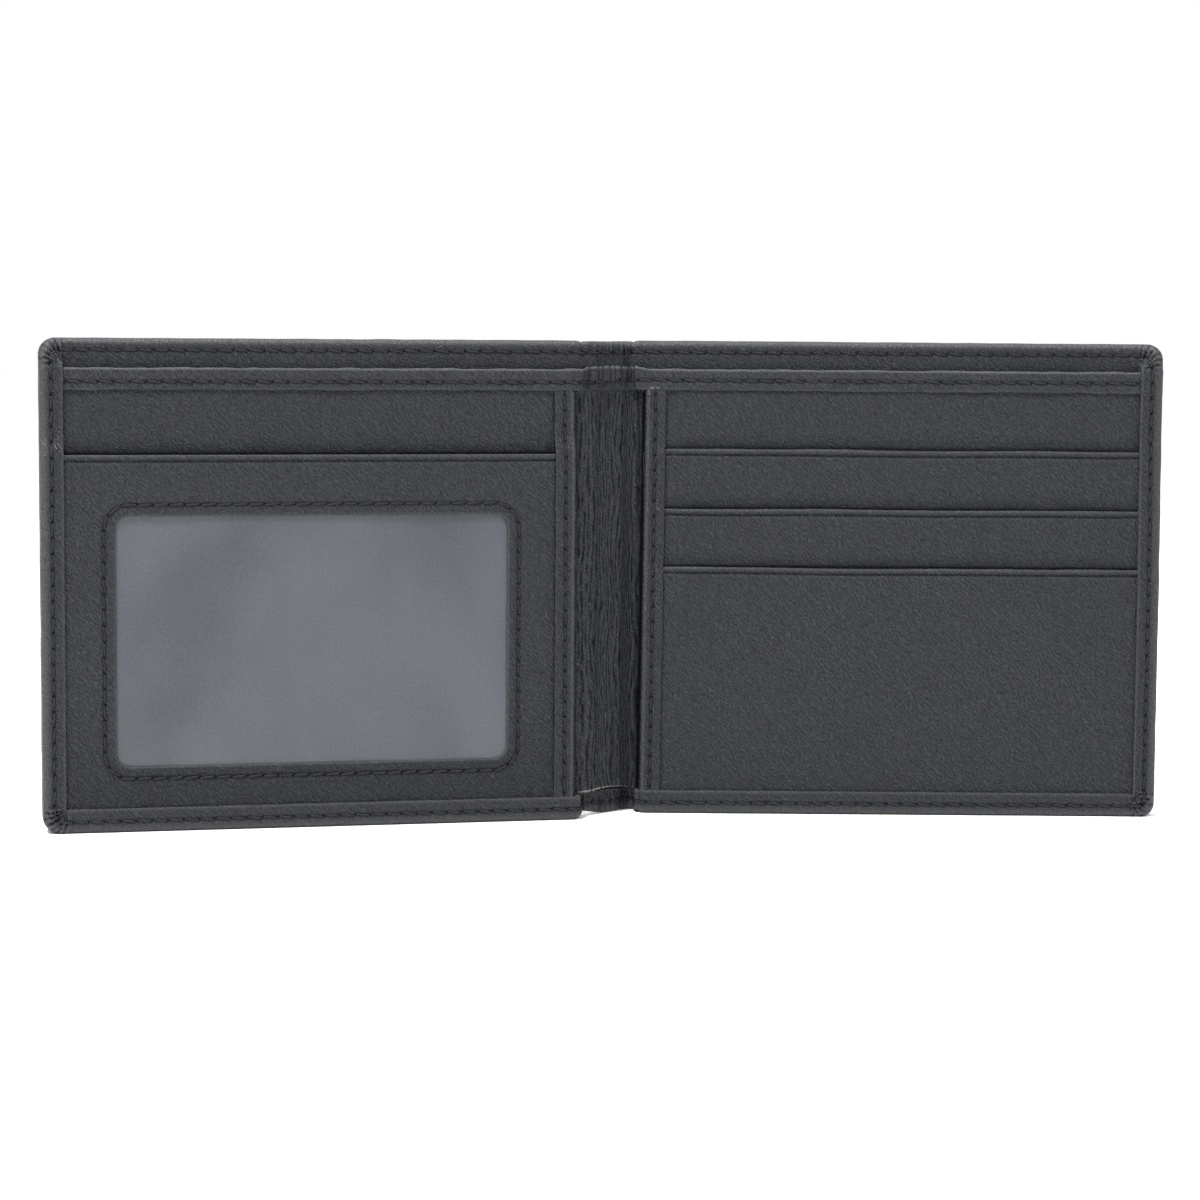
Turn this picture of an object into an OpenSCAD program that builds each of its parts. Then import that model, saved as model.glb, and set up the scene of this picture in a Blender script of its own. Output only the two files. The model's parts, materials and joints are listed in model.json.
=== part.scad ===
/* [Wallet] */
// Height of the wallet, bottom edge to top edge
wallet_h = 92.5; // [85:0.5:100]
// Width of one folded half, spine edge to outer edge
panel_w = 101.5; // [95:0.5:110]
// Distance between the two fold lines of the spine
spine_w = 12.84; // [10:0.1:18]
// Radius of the four outer corners
corner_r = 3; // [1.5:0.5:6]
// Set-back of the inside layers from each fold line
fold_gap = 2; // [1.8:0.1:3]

/* [Standing pose] */
// Angle of the spine to the right half, flat is 0
spine_turn = 41.55; // [0:0.05:90]
// Angle of the left half to the right half, flat is 0
left_turn = 12.55; // [0:0.05:90]

/* [Turned edges] */
// Width of the turned strip along the outer edge
side_strip = 4.4; // [3:0.1:7]
// Width of the turned strip along the bottom edge
bottom_strip = 4.6; // [3:0.1:7]
// Width of the turned strip along the top edge
top_strip = 9; // [5:0.5:12]
// Width of the binding along the spine edge of each half
binding_w = 4; // [3:0.1:6]

/* [Pockets] */
// Top of the divider below the top of the cover
divider_drop = 5.4; // [3:0.1:10]
// Height of the hem folded over the divider's top
hem_h = 4.2; // [3:0.1:7]
// Top of the first card slot below the top of the cover
slot_drop = 20.9; // [15:0.1:30]
// Step from one card slot to the next
slot_step = 11.5; // [8:0.1:14]
// Top of the window pocket below the top of the cover
pocket_drop = 21.6; // [15:0.1:30]
// Width of the clear window
window_w = 74.3; // [60:0.1:80]
// Height of the clear window
window_h = 47.1; // [35:0.1:52]
// Radius of the window's corners
window_r = 2.6; // [1:0.1:6]

/* [Hidden] */
$fn = 48;

// depths, measured forwards from the middle of the outer leather
skin = 0.5;
board_f = 0.9;
lining_f = 1.25;
strip_f = 1.95;
div_lining_b = 2.25;
div_b = 2.55;
div_f = 3.15;
hem_f = 3.75;
base_f = 3.6;
inner_f = 5.22;
front = 5.9;
fold_wall = 0.7;
plate_gap = 0.8;
overhang = 0.8;
thread = 0.12;
thread_w = 0.6;
trim = 4;

x_end = fold_gap + panel_w;
window_x = fold_gap + panel_w - 13.8 - window_w;
window_z = wallet_h - 33.1 - window_h;

hinge_l = [-spine_w * cos(spine_turn), -spine_w * sin(spine_turn)];
x_low = hinge_l[0] - x_end * cos(left_turn) - skin * sin(left_turn);
y_low = hinge_l[1] - x_end * sin(left_turn) - front * cos(left_turn);
shift = [-(x_low + x_end) / 2, -(y_low + skin) / 2];

leather_c = [0.1, 0.1, 0.11];
lining_c = [0.16, 0.16, 0.18];
board_c = [0.55, 0.5, 0.42];
film_c = [0.45, 0.48, 0.52, 0.7];
thread_c = [0.03, 0.03, 0.03];

// places a half or the spine; each is drawn with x away from its fold line, front at -y
module at_right() { translate([shift[0], shift[1], 0]) children(); }
module at_left() {
    translate([shift[0] + hinge_l[0], shift[1] + hinge_l[1], 0])
        rotate([0, 0, left_turn]) mirror([1, 0, 0]) children();
}
module at_spine() {
    translate([shift[0], shift[1], 0]) rotate([0, 0, spine_turn]) mirror([1, 0, 0]) children();
}

// a block from x0 to x1, from depth d0 to depth d1, from z0 to z1
module slab(x0, x1, d0, d1, z0, z1) {
    translate([x0, -d1, z0]) cube([x1 - x0, d1 - d0, z1 - z0]);
}
// a round-topped bar from x0 to x1, such as a folded edge
module roll_bar(x0, x1, d0, d1, z0, z1) {
    r = (d1 - d0) / 2;
    slab(x0, x1, d0, d1, z0, z1 - r);
    translate([x0, -d0 - r, z1 - r]) rotate([0, 90, 0]) cylinder(h = x1 - x0, r = r);
}
// a sheet from x0 to the outer edge, up to z1, with its outer corners trimmed round
module sheet(x0, d0, d1, z1, trim_top = 0) {
    x1 = x_end - fold_wall;
    translate([0, -d0, 0]) rotate([90, 0, 0]) linear_extrude(height = d1 - d0) {
        translate([x0, fold_wall]) square([x1 - trim - x0, z1 - fold_wall]);
        translate([x0, fold_wall + trim])
            square([x1 - x0, z1 - fold_wall - trim - trim_top]);
        translate([x1 - trim, fold_wall + trim]) circle(r = trim);
        if (trim_top > 0) translate([x1 - trim, z1 - trim]) circle(r = trim);
    }
}
// a sheet whose top edge is folded round
module folded(x0, d0, d1, z1) {
    r = (d1 - d0) / 2;
    sheet(x0, d0, d1, z1 - r);
    roll_bar(x0, x_end - fold_wall, d0, d1, z1 - 2 * r, z1);
}
module rounded(w, h, r) {
    translate([r, 0]) square([w - 2 * r, h]);
    translate([0, r]) square([w, h - 2 * r]);
    for (x = [r, w - r]) for (z = [r, h - r]) translate([x, z]) circle(r = r);
}
// a window-shaped block, grown by g all round
module window_block(g, d0, d1) {
    translate([window_x - g, -d0, window_z - g]) rotate([90, 0, 0])
        linear_extrude(height = d1 - d0)
            rounded(window_w + 2 * g, window_h + 2 * g, window_r + g);
}

// envelope of one cover half: rounded outline, rolled top, rounded bottom and outer edge
module cover_envelope() {
    roll = (strip_f + skin) / 2;
    intersection() {
        translate([-20, skin + 1, 0]) rotate([90, 0, 0])
            linear_extrude(height = front + skin + 2)
                rounded(x_end + 20, wallet_h, corner_r);
        translate([plate_gap, -front, 0]) linear_extrude(height = wallet_h) {
            square([x_end - plate_gap - 2, front + skin]);
            translate([x_end - plate_gap - 4, 2]) square([4, front + skin - 4]);
            for (y = [2, front + skin - 2]) translate([x_end - plate_gap - 2, y]) circle(r = 2);
        }
        rotate([0, 90, 0]) linear_extrude(height = x_end + 1) {
            polygon([[-1.6, skin], [-wallet_h + roll, skin], [-wallet_h + roll, -strip_f],
                [-wallet_h + 5.2, -front], [-1.6, -front]]);
            translate([-wallet_h + roll, skin - roll]) circle(r = roll);
            translate([-2, -front + 1.6]) square([2, front + skin - 3.2]);
            for (y = [-front + 1.6, skin - 1.6]) translate([-1.6, y]) circle(r = 1.6);
        }
    }
}
module outer_cover() {
    difference() {
        cover_envelope();
        // room for the board and the lining
        sheet(-1, skin, lining_f, wallet_h - 0.8, trim);
        // room for the pockets
        sheet(-1, lining_f - 0.1, inner_f, wallet_h - top_strip);
        slab(-1, x_end - fold_wall, strip_f, inner_f, 20, wallet_h - divider_drop + 0.1);
        // open front, leaving the turned strips
        slab(-1, x_end - side_strip, strip_f, front + 1, bottom_strip, wallet_h + 1);
        // clearance beside the fold line
        slab(-1, fold_gap, skin, front + 1, bottom_strip, wallet_h + 1);
        slab(-1, fold_gap - overhang, skin, front + 1, -1, bottom_strip + 1);
        back_seam();
    }
}
// the seam on the outside of a cover half, let into the leather
module back_seam() {
    side_x = x_end - 2.4;
    slab(fold_gap, side_x, -skin, -skin + thread, 2, 2 + thread_w);
    slab(fold_gap, side_x, -skin, -skin + thread, wallet_h - 2.4, wallet_h - 1.8);
    slab(side_x - thread_w, side_x, -skin, -skin + thread, 2, wallet_h - 1.8);
}
module stiffener() {
    sheet(fold_gap, skin, board_f, wallet_h - 0.8, trim);
}
module bill_lining() {
    sheet(fold_gap, board_f, lining_f, wallet_h - 0.8, trim);
}
module divider() {
    top = wallet_h - divider_drop;
    sheet(fold_gap, div_b, div_f, top - 0.6);
    roll_bar(fold_gap, x_end - fold_wall, div_b, hem_f, top - hem_h, top);
}
module divider_lining() {
    sheet(fold_gap, div_lining_b, div_b, wallet_h - divider_drop - 1);
}
module base_panel() {
    sheet(fold_gap + 0.5, div_f, base_f, wallet_h - divider_drop - hem_h);
}
// k counts the slots from the top one, 0 to 2
module card_slot(k) {
    b = base_f + 0.14 + k * 0.54;
    folded(fold_gap + 0.5, b, b + 0.4, wallet_h - slot_drop - k * slot_step);
}
module card_slot_lining(k) {
    b = base_f + 0.02 + k * 0.54;
    sheet(fold_gap + 0.5, b, b + 0.12, wallet_h - slot_drop - k * slot_step - 0.8);
}
module edge_binding() {
    top = wallet_h - divider_drop - hem_h;
    slab(fold_gap, fold_gap + 0.5, div_f, front, bottom_strip + 0.1, top);
    slab(fold_gap, fold_gap + binding_w, inner_f, front, bottom_strip + 0.1, top);
}
module id_pocket_lining() {
    sheet(fold_gap + 0.5, 3.7, 3.9, wallet_h - pocket_drop - 1);
}
module id_window_film() { window_block(3.6, 4.22, 4.52); }
module id_window_frame() {
    difference() {
        folded(fold_gap + 0.5, 4.52, inner_f, wallet_h - pocket_drop);
        window_block(0, 4, 6);
    }
}
module stitching_cover() {
    side_x = x_end - 2.4;
    slab(fold_gap, side_x, front, front + thread, 2, 2 + thread_w);
    slab(side_x - thread_w, side_x, front, front + thread, 2, wallet_h - 6.5);
    slab(fold_gap, x_end - 5.5, strip_f, strip_f + thread, wallet_h - 2.4, wallet_h - 1.8);
    back_seam();
}
module stitching_hem() {
    z = wallet_h - divider_drop - 2.3;
    slab(fold_gap + 0.5, x_end - side_strip - 0.3, hem_f, hem_f + thread, z - thread_w, z);
}
module stitching_binding() {
    slab(fold_gap + 1.9, fold_gap + 1.9 + thread_w, front, front + thread, bottom_strip + 0.6,
        wallet_h - divider_drop - hem_h - 0.6);
}
module stitching_window() {
    difference() {
        window_block(2.5, inner_f, inner_f + thread);
        window_block(2.5 - thread_w, inner_f - 1, inner_f + 1);
    }
}

// the spine, with x from 0 at the right fold line to spine_w at the left one
module outer_cover_spine() {
    x1 = spine_w - plate_gap;
    roll = 0.95;
    difference() {
        slab(plate_gap, x1, -skin, skin, 0.8, wallet_h - roll);
        back_seam_spine();
    }
    translate([plate_gap + 0.2, skin - roll, wallet_h - roll]) rotate([0, 90, 0])
        cylinder(h = x1 - plate_gap - 0.4, r = roll);
    slab(plate_gap + 0.2, x1 - 0.2, 0.8, 2 * roll - skin, wallet_h - 4.9, wallet_h - roll);
    slab(plate_gap + 0.2, x1 - 0.2, skin - 0.1, skin + 0.35, 0.8, bottom_strip);
}
module bill_lining_spine() {
    slab(1.1, spine_w - 1.1, skin, 0.8, bottom_strip + 0.1, wallet_h - 2);
}
module divider_spine() {
    top = wallet_h - divider_drop;
    slab(1.1, spine_w - 1.1, 1, 1.45, 5, top - 0.4);
    roll_bar(1.1, spine_w - 1.1, 1, 1.65, top - hem_h, top);
}
module stitching_cover_spine() {
    slab(1.1, spine_w - 1.1, 1.4, 1.4 + thread, wallet_h - 2.4, wallet_h - 1.8);
    back_seam_spine();
}
// the same seam across the outside of the spine
module back_seam_spine() {
    for (z = [2, wallet_h - 2.4])
        slab(1.1, spine_w - 1.1, -skin, -skin + thread, z, z + thread_w);
}
module stitching_hem_spine() {
    z = wallet_h - divider_drop - 2.3;
    slab(1.1, spine_w - 1.1, 1.65, 1.65 + 0.05, z - thread_w, z);
}

color(leather_c) at_left() outer_cover();  // outer_cover_left
color(board_c) at_left() stiffener();  // stiffener_left
color(lining_c) at_left() bill_lining();  // bill_lining_left
color(leather_c) at_left() divider();  // divider_left
color(lining_c) at_left() divider_lining();  // divider_lining_left
color(leather_c) at_left() base_panel();  // left_base_panel
color(lining_c) at_left() id_pocket_lining();
color(film_c) at_left() id_window_film();
color(leather_c) at_left() id_window_frame();
color(leather_c) at_left() edge_binding();  // left_edge_binding
color(thread_c) at_left() stitching_cover();  // stitching_cover_left
color(thread_c) at_left() stitching_hem();  // stitching_hem_left
color(thread_c) at_left() stitching_window();
color(thread_c) at_left() stitching_binding();  // stitching_binding_left

color(leather_c) at_spine() outer_cover_spine();
color(lining_c) at_spine() bill_lining_spine();
color(leather_c) at_spine() divider_spine();
color(thread_c) at_spine() stitching_cover_spine();
color(thread_c) at_spine() stitching_hem_spine();

color(leather_c) at_right() outer_cover();  // outer_cover_right
color(board_c) at_right() stiffener();  // stiffener_right
color(lining_c) at_right() bill_lining();  // bill_lining_right
color(leather_c) at_right() divider();  // divider_right
color(lining_c) at_right() divider_lining();  // divider_lining_right
color(leather_c) at_right() base_panel();  // right_base_panel
color(leather_c) at_right() card_slot(0);  // card_slot_1
color(leather_c) at_right() card_slot(1);  // card_slot_2
color(leather_c) at_right() card_slot(2);  // card_slot_3
color(lining_c) at_right() card_slot_lining(0);  // card_slot_lining_1
color(lining_c) at_right() card_slot_lining(1);  // card_slot_lining_2
color(lining_c) at_right() card_slot_lining(2);  // card_slot_lining_3
color(leather_c) at_right() edge_binding();  // right_edge_binding
color(thread_c) at_right() stitching_cover();  // stitching_cover_right
color(thread_c) at_right() stitching_hem();  // stitching_hem_right
color(thread_c) at_right() stitching_binding();  // stitching_binding_right
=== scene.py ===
"""Looks of the bifold wallet: leather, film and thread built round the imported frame.

Shapes are drawn flat, in millimetres, as (u, z, n): u is the distance from a half's fold line
(negative on the spine), z the height and n the depth towards the reader from the middle of the
outer leather. Half.place then bends them round the fold line into the standing pose.
"""
import json
import math

import bpy
import numpy as np
from mathutils import Matrix, Vector


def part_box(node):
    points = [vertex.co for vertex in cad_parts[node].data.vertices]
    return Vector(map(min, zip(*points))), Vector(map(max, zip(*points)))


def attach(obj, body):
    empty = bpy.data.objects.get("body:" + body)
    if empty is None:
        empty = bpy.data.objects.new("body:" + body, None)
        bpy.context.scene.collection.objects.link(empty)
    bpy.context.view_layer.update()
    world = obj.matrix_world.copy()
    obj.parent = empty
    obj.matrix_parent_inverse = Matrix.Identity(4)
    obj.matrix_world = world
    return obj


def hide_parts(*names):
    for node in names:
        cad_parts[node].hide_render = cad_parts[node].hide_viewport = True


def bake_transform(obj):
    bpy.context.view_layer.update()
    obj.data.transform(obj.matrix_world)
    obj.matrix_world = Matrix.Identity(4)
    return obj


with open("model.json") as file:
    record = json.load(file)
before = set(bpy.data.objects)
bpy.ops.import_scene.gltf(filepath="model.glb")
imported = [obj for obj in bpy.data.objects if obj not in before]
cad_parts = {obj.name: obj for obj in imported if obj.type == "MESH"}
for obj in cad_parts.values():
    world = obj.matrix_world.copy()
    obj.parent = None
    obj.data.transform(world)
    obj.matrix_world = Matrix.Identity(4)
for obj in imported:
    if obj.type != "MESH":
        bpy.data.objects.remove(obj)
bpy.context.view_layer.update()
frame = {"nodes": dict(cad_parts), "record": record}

# ---- sizes, in millimetres
MM = 0.001
JOINTS = {j["name"]: j for j in frame["record"]["behaviour"]["joints"]}
HINGE_RIGHT = np.array(JOINTS["spine_fold_right"]["pos_m"][:2]) / MM
HINGE_LEFT = np.array(JOINTS["spine_fold_left"]["pos_m"][:2]) / MM
SPINE_W = float(np.linalg.norm(HINGE_RIGHT - HINGE_LEFT))
SPINE_TURN = math.atan2(*(HINGE_RIGHT - HINGE_LEFT)[::-1])
LEFT_TURN = math.radians(12.55)         # how far the left half is turned towards the reader

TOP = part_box("outer_cover_right")[1].z / MM
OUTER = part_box("outer_cover_right")[1].x / MM - HINGE_RIGHT[0]
BLOCK = 2.0            # where the pockets start, from the fold line
POCKET_START = 3.3     # and where their sheets start, inside the binding
BLOCK_LEAN = {-1: 0.0, 1: 0.75}         # how far that edge leans away from the fold at the top
FOOT = 0.02            # nothing reaches lower than this
SKIN = 0.5             # half the outer leather's thickness
STRIP_SIDE = 4.4       # width of the turned strip at the outer edge
STRIP_BOTTOM = 4.6
STRIP_TOP = 5.8        # the part of the top strip that can be seen
SEAM_INSET = 2.2       # outer seam to the wallet's edge
CORNER_BLOCK = 4.6     # size of the pleated corner
CORNER_R = {-1: (3.2, 3.1), 1: (2.6, 2.7)}      # radius of each half's bottom and top corner
HEM_TOP = TOP - 5.4
HEM_LOW = TOP - 9.6
SLOT_TOPS = [TOP - 20.9, TOP - 32.5, TOP - 43.9]
SLOT_LEVELS = [4.14, 4.68, 5.22]
POCKET_TOP = TOP - 21.6
BASE_LEVEL = 3.6
POCKET_LEVEL = 5.22
STRIP_LEATHER = 0.7
GRAIN_SLANT = 45.0     # degrees that the grain runs down to the right
FOLD_SPACING = 0.68    # between the fine folds of the grain
WINDOW_U = (OUTER - 88.1, OUTER - 13.8)
WINDOW_Z = (TOP - 80.2, TOP - 33.1)
WINDOW_R = 2.6
FILM_LEVEL = 4.5
BINDING_W = 4.2
BINDING_SEAM = 2.15    # its seam, from the binding's edge
HEM_STEP = {-1: (-1.2, 0.9), 1: (-3.0, 1.6)}    # where the hem comes forward onto each half
HEM_RISE = {-1: (-1.2, 0.9), 1: (1.6, 3.4)}     # where the hem steps up onto each half
CREASE = 1.15          # folded pocket edges: the crease below the fold
GAPE = 0.5             # and how far a mouth stands open in its middle
FOLD_R = 0.3           # radius of a folded pocket edge
SHEET_T = 0.42         # thickness of the divider's and the pockets' leather
STITCH_PITCH = 2.95
SEAM_START = 1.2       # a needle hole of the long seams, from where they start
BINDING_FIRST = 5.4    # lowest needle hole of the binding
THREAD_R = 0.21
BEND_OUT = 0.9         # the bend reaches this far onto the half
BEND_IN = 4.0          # and this far onto the spine
BLOCK_FLOOR = 1.9      # depth of the lowest layer of the pockets
STRIP_FLOOR = 1.95     # and of the hidden end of the turned strips
FACE_LEVEL = 5.9       # depth of the cover's face over the thickest layers
TOP_LEVEL = 2.05       # and of the top strip's face
FINE_STEP = 0.2        # mesh steps of the cover: by the fold, along its edges,
EDGE_STEP = 0.42       # round its corners and on its back
CORNER_STEP = 0.28
BACK_STEP = 1.6
FINE_END = 4.0         # the steps are fine from the spine to here
BOTTOM, LOW_CORNER, OUTER_END, HIGH_CORNER, TOP_EDGE = range(5)     # zones of the outline


# ---- small helpers
def smooth(t):
    t = np.clip(t, 0.0, 1.0)
    return t * t * (3 - 2 * t)


def ease(x, x0, x1, y0, y1):
    """y0 before x0, y1 after x1, smooth between."""
    return y0 + (y1 - y0) * smooth((np.asarray(x, float) - x0) / (x1 - x0))


def curve(x, points):
    """A smooth curve through (x, y) points, level beyond them."""
    x = np.asarray(x, float)
    y = np.full(x.shape, float(points[0][1]))
    for (x0, y0), (x1, y1) in zip(points, points[1:]):
        y = np.where(x > x0, ease(x, x0, x1, y0, y1), y)
    return y


def ripple(x, y, wave_x, wave_y, seed, count=28):
    """An irregular smooth field of about unit height, with the given wavelengths."""
    rng = np.random.default_rng(seed)
    x, y = np.broadcast_arrays(np.asarray(x, float), np.asarray(y, float))
    total = np.zeros(x.shape)
    for _ in range(count):
        turn, phase = rng.uniform(0, 2 * math.pi, 2)
        k = rng.uniform(0.6, 1.4) * 2 * math.pi
        total += np.cos(k * (x * math.cos(turn) / wave_x + y * math.sin(turn) / wave_y) + phase)
    return total * math.sqrt(2.0 / count)


def bell(x, width):
    return np.exp(-(np.asarray(x, float) / width) ** 2)


def spaced(start, stop, step):
    """Evenly spaced values from start to stop, about step apart."""
    return np.linspace(start, stop, max(2, int(round(abs(stop - start) / step)) + 1))


class Half:
    """One half of the wallet with its part of the spine."""

    def __init__(self, name, body, hinge, side, turn):
        self.name, self.body, self.hinge = name, body, hinge
        self.side, self.turn = side, turn

    def place(self, p):
        """Flat (u, z, n) in millimetres to the row frame in metres."""
        u, z, n = p[..., 0], p[..., 1], p[..., 2]
        bend = smooth((BEND_OUT - u) / (BEND_OUT + BEND_IN))
        angle = self.turn + bend * (SPINE_TURN - self.turn)
        across, c, s = self.side * u, np.cos(angle), np.sin(angle)
        x = self.hinge[0] + across * c + n * s
        y = self.hinge[1] + across * s - n * c
        return np.stack([x, y, z], axis=-1) * MM

    def flat(self, p):
        """The leather's own coordinates, continuous over the spine."""
        q = np.array(p, float)
        q[..., 0] = self.across(q[..., 0])
        return q

    def across(self, u):
        """The first of the leather's own coordinates, for patterns that run on over the spine."""
        return self.side * (u + SPINE_W / 2)

    def attach(self, piece, crosses_fold):
        if not crosses_fold:
            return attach(piece, self.body)
        if self.side > 0:
            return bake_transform(piece)
        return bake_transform(piece)


LEFT = Half("left", "left_half", HINGE_LEFT, -1, LEFT_TURN)
RIGHT = Half("right", "right_half", HINGE_RIGHT, 1, 0.0)


# ---- mesh building
class Shape:
    """Grids of flat points that become one mesh."""

    def __init__(self, half):
        self.half, self.points, self.faces, self.wear, self.count = half, [], [], [], 0

    def grid(self, p, loop=False, wear=None):
        """Adds a grid of points, (rows, columns, 3); loop joins its last column to its first.

        Its outer face is the one from which a turn from the rows' way to the columns' way is
        anticlockwise. The last argument is -1 where painted shade is darkest, up to 1 for painted
        highlight and edge wear, and 2 where its raw inside shows.
        """
        rows, columns = p.shape[:2]
        index = np.arange(rows * columns).reshape(rows, columns) + self.count
        if loop:
            index = np.concatenate([index, index[:, :1]], axis=1)
        quads = np.stack([index[:-1, :-1], index[1:, :-1], index[1:, 1:], index[:-1, 1:]], -1)
        quads = quads.reshape(-1, 4)
        if self.half.side < 0:
            quads = quads[:, ::-1]
        self.points.append(p.reshape(-1, 3))
        self.faces.append(quads)
        amount = np.zeros((rows, columns)) if wear is None else np.broadcast_to(wear, (rows, columns))
        self.wear.append(amount.reshape(-1))
        self.count += rows * columns
        return self

    def object(self, name, material, crosses_fold, slot, nodes=()):
        flat = np.concatenate(self.points)
        flat[:, 1] = np.maximum(flat[:, 1], FOOT)
        faces = np.concatenate(self.faces)
        mesh = bpy.data.meshes.new(name)
        mesh.from_pydata(self.half.place(flat).tolist(), [], faces.tolist())
        attribute = mesh.attributes.new("flat", "FLOAT_VECTOR", "POINT")
        attribute.data.foreach_set("vector", self.half.flat(flat).astype(np.float32).ravel())
        # Per point: painted shade below 0, painted highlight and edge wear up to 1, raw inside up to
        # 2.
        attribute = mesh.attributes.new("wear", "FLOAT", "POINT")
        attribute.data.foreach_set("value", np.concatenate(self.wear).astype(np.float32))
        mesh.polygons.foreach_set("use_smooth", [True] * len(mesh.polygons))
        mesh.materials.append(material)
        mesh.validate()
        piece = bpy.data.objects.new(name, mesh)
        bpy.context.scene.collection.objects.link(piece)
        self.half.attach(piece, crosses_fold)
        if nodes:
            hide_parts(*nodes)
        return piece


def cad_nodes(part, half):
    """The CAD nodes that a half's piece stands for: the left one takes the spine's with it."""
    return [f"{part}_{half.name}"] + ([f"{part}_spine"] if half.side < 0 else [])


def normals(p):
    """Unit normals of a grid of points."""
    m = np.cross(np.gradient(p, axis=0), np.gradient(p, axis=1))
    return m / (np.linalg.norm(m, axis=2, keepdims=True) + 1e-9)


def pushed(p, height):
    """The grid moved along its normals by height."""
    return p + normals(p) * np.asarray(height)[..., None]


# ---- the outer cover
def side_level(z, half):
    """Depth of the turned strip's face along the outer edge: it follows the layers below."""
    if half.side > 0:
        steps = [(TOP - 46, FACE_LEVEL), (TOP - 42, 5.42), (TOP - 34, 5.38), (TOP - 30.5, 4.9),
                 (TOP - 23, 4.86), (TOP - 18, 4.4)]
    else:
        steps = [(TOP - 21.9, FACE_LEVEL), (TOP - 17.5, 4.4)]
    return curve(z, steps + [(TOP - 10.5, 4.4), (TOP - 9.2, 4.75), (TOP - 5.3, 4.75),
                             (TOP - 3.2, 2.6), (TOP, 2.3)])


class Outline:
    """Stations round a cover half: bottom edge, outer end, top edge, from spine to spine."""

    def __init__(self, half):
        b = CORNER_BLOCK
        corner_low, corner_high = CORNER_R[half.side]
        inner_u, inner_z = OUTER - b, TOP - b
        run = np.concatenate([spaced(-SPINE_W / 2, FINE_END, FINE_STEP)[:-1],
                              spaced(FINE_END, inner_u, EDGE_STEP)])
        low = self.corner(b, corner_low)[1:-1]
        high = self.corner(b, corner_high)[::-1][1:-1]
        zones = [[((u, 0), (u, b)) for u in run],
                 [((inner_u + x, b - y), (inner_u, b)) for x, y in low],
                 [((OUTER, z), (inner_u, z)) for z in spaced(b, inner_z, EDGE_STEP)],
                 [((inner_u + x, inner_z + y), (inner_u, inner_z)) for x, y in high],
                 [((u, TOP), (u, inner_z)) for u in run[::-1]]]
        stations = np.array([station for zone in zones for station in zone], float)
        self.edge, self.anchor = stations[:, 0], stations[:, 1]
        self.zone = np.repeat(range(len(zones)), [len(zone) for zone in zones])
        self.half = half
        self.shape_edges()
        step = np.linalg.norm(np.diff(self.edge, axis=0), axis=1)
        self.along = np.concatenate([[0], np.cumsum(step)])

    @staticmethod
    def corner(b, r):
        """Points from (0, b) round a rounded corner to (b, 0), from the block's inner corner."""
        points = [(x, b) for x in spaced(0, b - r, CORNER_STEP)]
        points += [(b - r + r * math.sin(a), b - r + r * math.cos(a))
                   for a in spaced(0, math.pi / 2, CORNER_STEP / r)[1:-1]]
        return points + [(b, y) for y in spaced(b - r, 0, CORNER_STEP)]

    def shape_edges(self):
        """The spine's ends are drawn in, and the block's end is rounded."""
        u, z = self.edge[:, 0].copy(), self.edge[:, 1].copy()
        low, high = self.zone == BOTTOM, self.zone == TOP_EDGE
        if self.half.side < 0:
            away = np.clip((u - 0.2) / 1.6, 0, 1)
            rounded = 1.6 - 1.6 * np.sqrt(1 - (1 - away) ** 2)
            rise = np.where(u > 0.2, rounded, 0.1 + 0.8 * bell(u, 3.3))
        else:
            rise = 0.1 + 0.5 * ease(u, 1.0, 1.9, 0.0, 1.0) * ease(u, 1.0, 2.8, 1.0, 0.0)
        rise = rise * smooth((BLOCK + 2 - u) / 2)
        self.edge[:, 1] = np.where(low, z + rise, self.edge[:, 1])
        dip = ease(u, 0.2, 1.6, 0.16, 0.0) + 0.16 * bell(u - 0.4, 0.25)
        self.edge[:, 1] = np.where(high, z - dip, self.edge[:, 1])

    def levels(self):
        """Face level, strip width and drop at the strip's inner edge, for every station."""
        u, z, zone = self.edge[:, 0], self.edge[:, 1], self.zone
        face = np.full(u.shape, FACE_LEVEL)
        end = 0.0 if self.half.side < 0 else 0.8
        step = [(end - 2.4, 0.95), (end, 1.15), (end + 0.6, 5.0), (end + 2.2, FACE_LEVEL)]
        face = np.where(zone == BOTTOM, curve(u, step), face)
        face = np.where(zone >= OUTER_END, side_level(z, self.half), face)
        first, last = self.along[zone == HIGH_CORNER][[0, -1]]
        turn = smooth((self.along - first) / (last - first))
        start, end = side_level(TOP - CORNER_BLOCK, self.half), TOP_LEVEL
        face = np.where(zone == HIGH_CORNER, start + (end - start) * turn, face)
        bulge = 0.5 * bell(u + 1.2, 2.2) if self.half.side > 0 else 0.0
        face = np.where(zone == TOP_EDGE, ease(u, -1.5, 2.2, 1.45, TOP_LEVEL) + bulge, face)
        first, last = self.along[zone == LOW_CORNER][[0, -1]]
        turning = ease(self.along, first, last, STRIP_BOTTOM, STRIP_SIDE)
        corner = CORNER_BLOCK - 0.1
        width = np.choose(zone, [STRIP_BOTTOM, np.minimum(turning, corner), STRIP_SIDE,
                                 min(STRIP_SIDE, corner), STRIP_TOP])
        drop = np.where(zone == HIGH_CORNER, np.maximum(face - 2.2, 0.05), STRIP_LEATHER)
        return face, width, drop

    def at(self, inset):
        """Flat (u, z) at an inset from the edge, (stations, len(inset), 2)."""
        share = np.asarray(inset, float) / CORNER_BLOCK
        return self.edge[:, None] + (self.anchor - self.edge)[:, None] * share[..., None]


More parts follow.
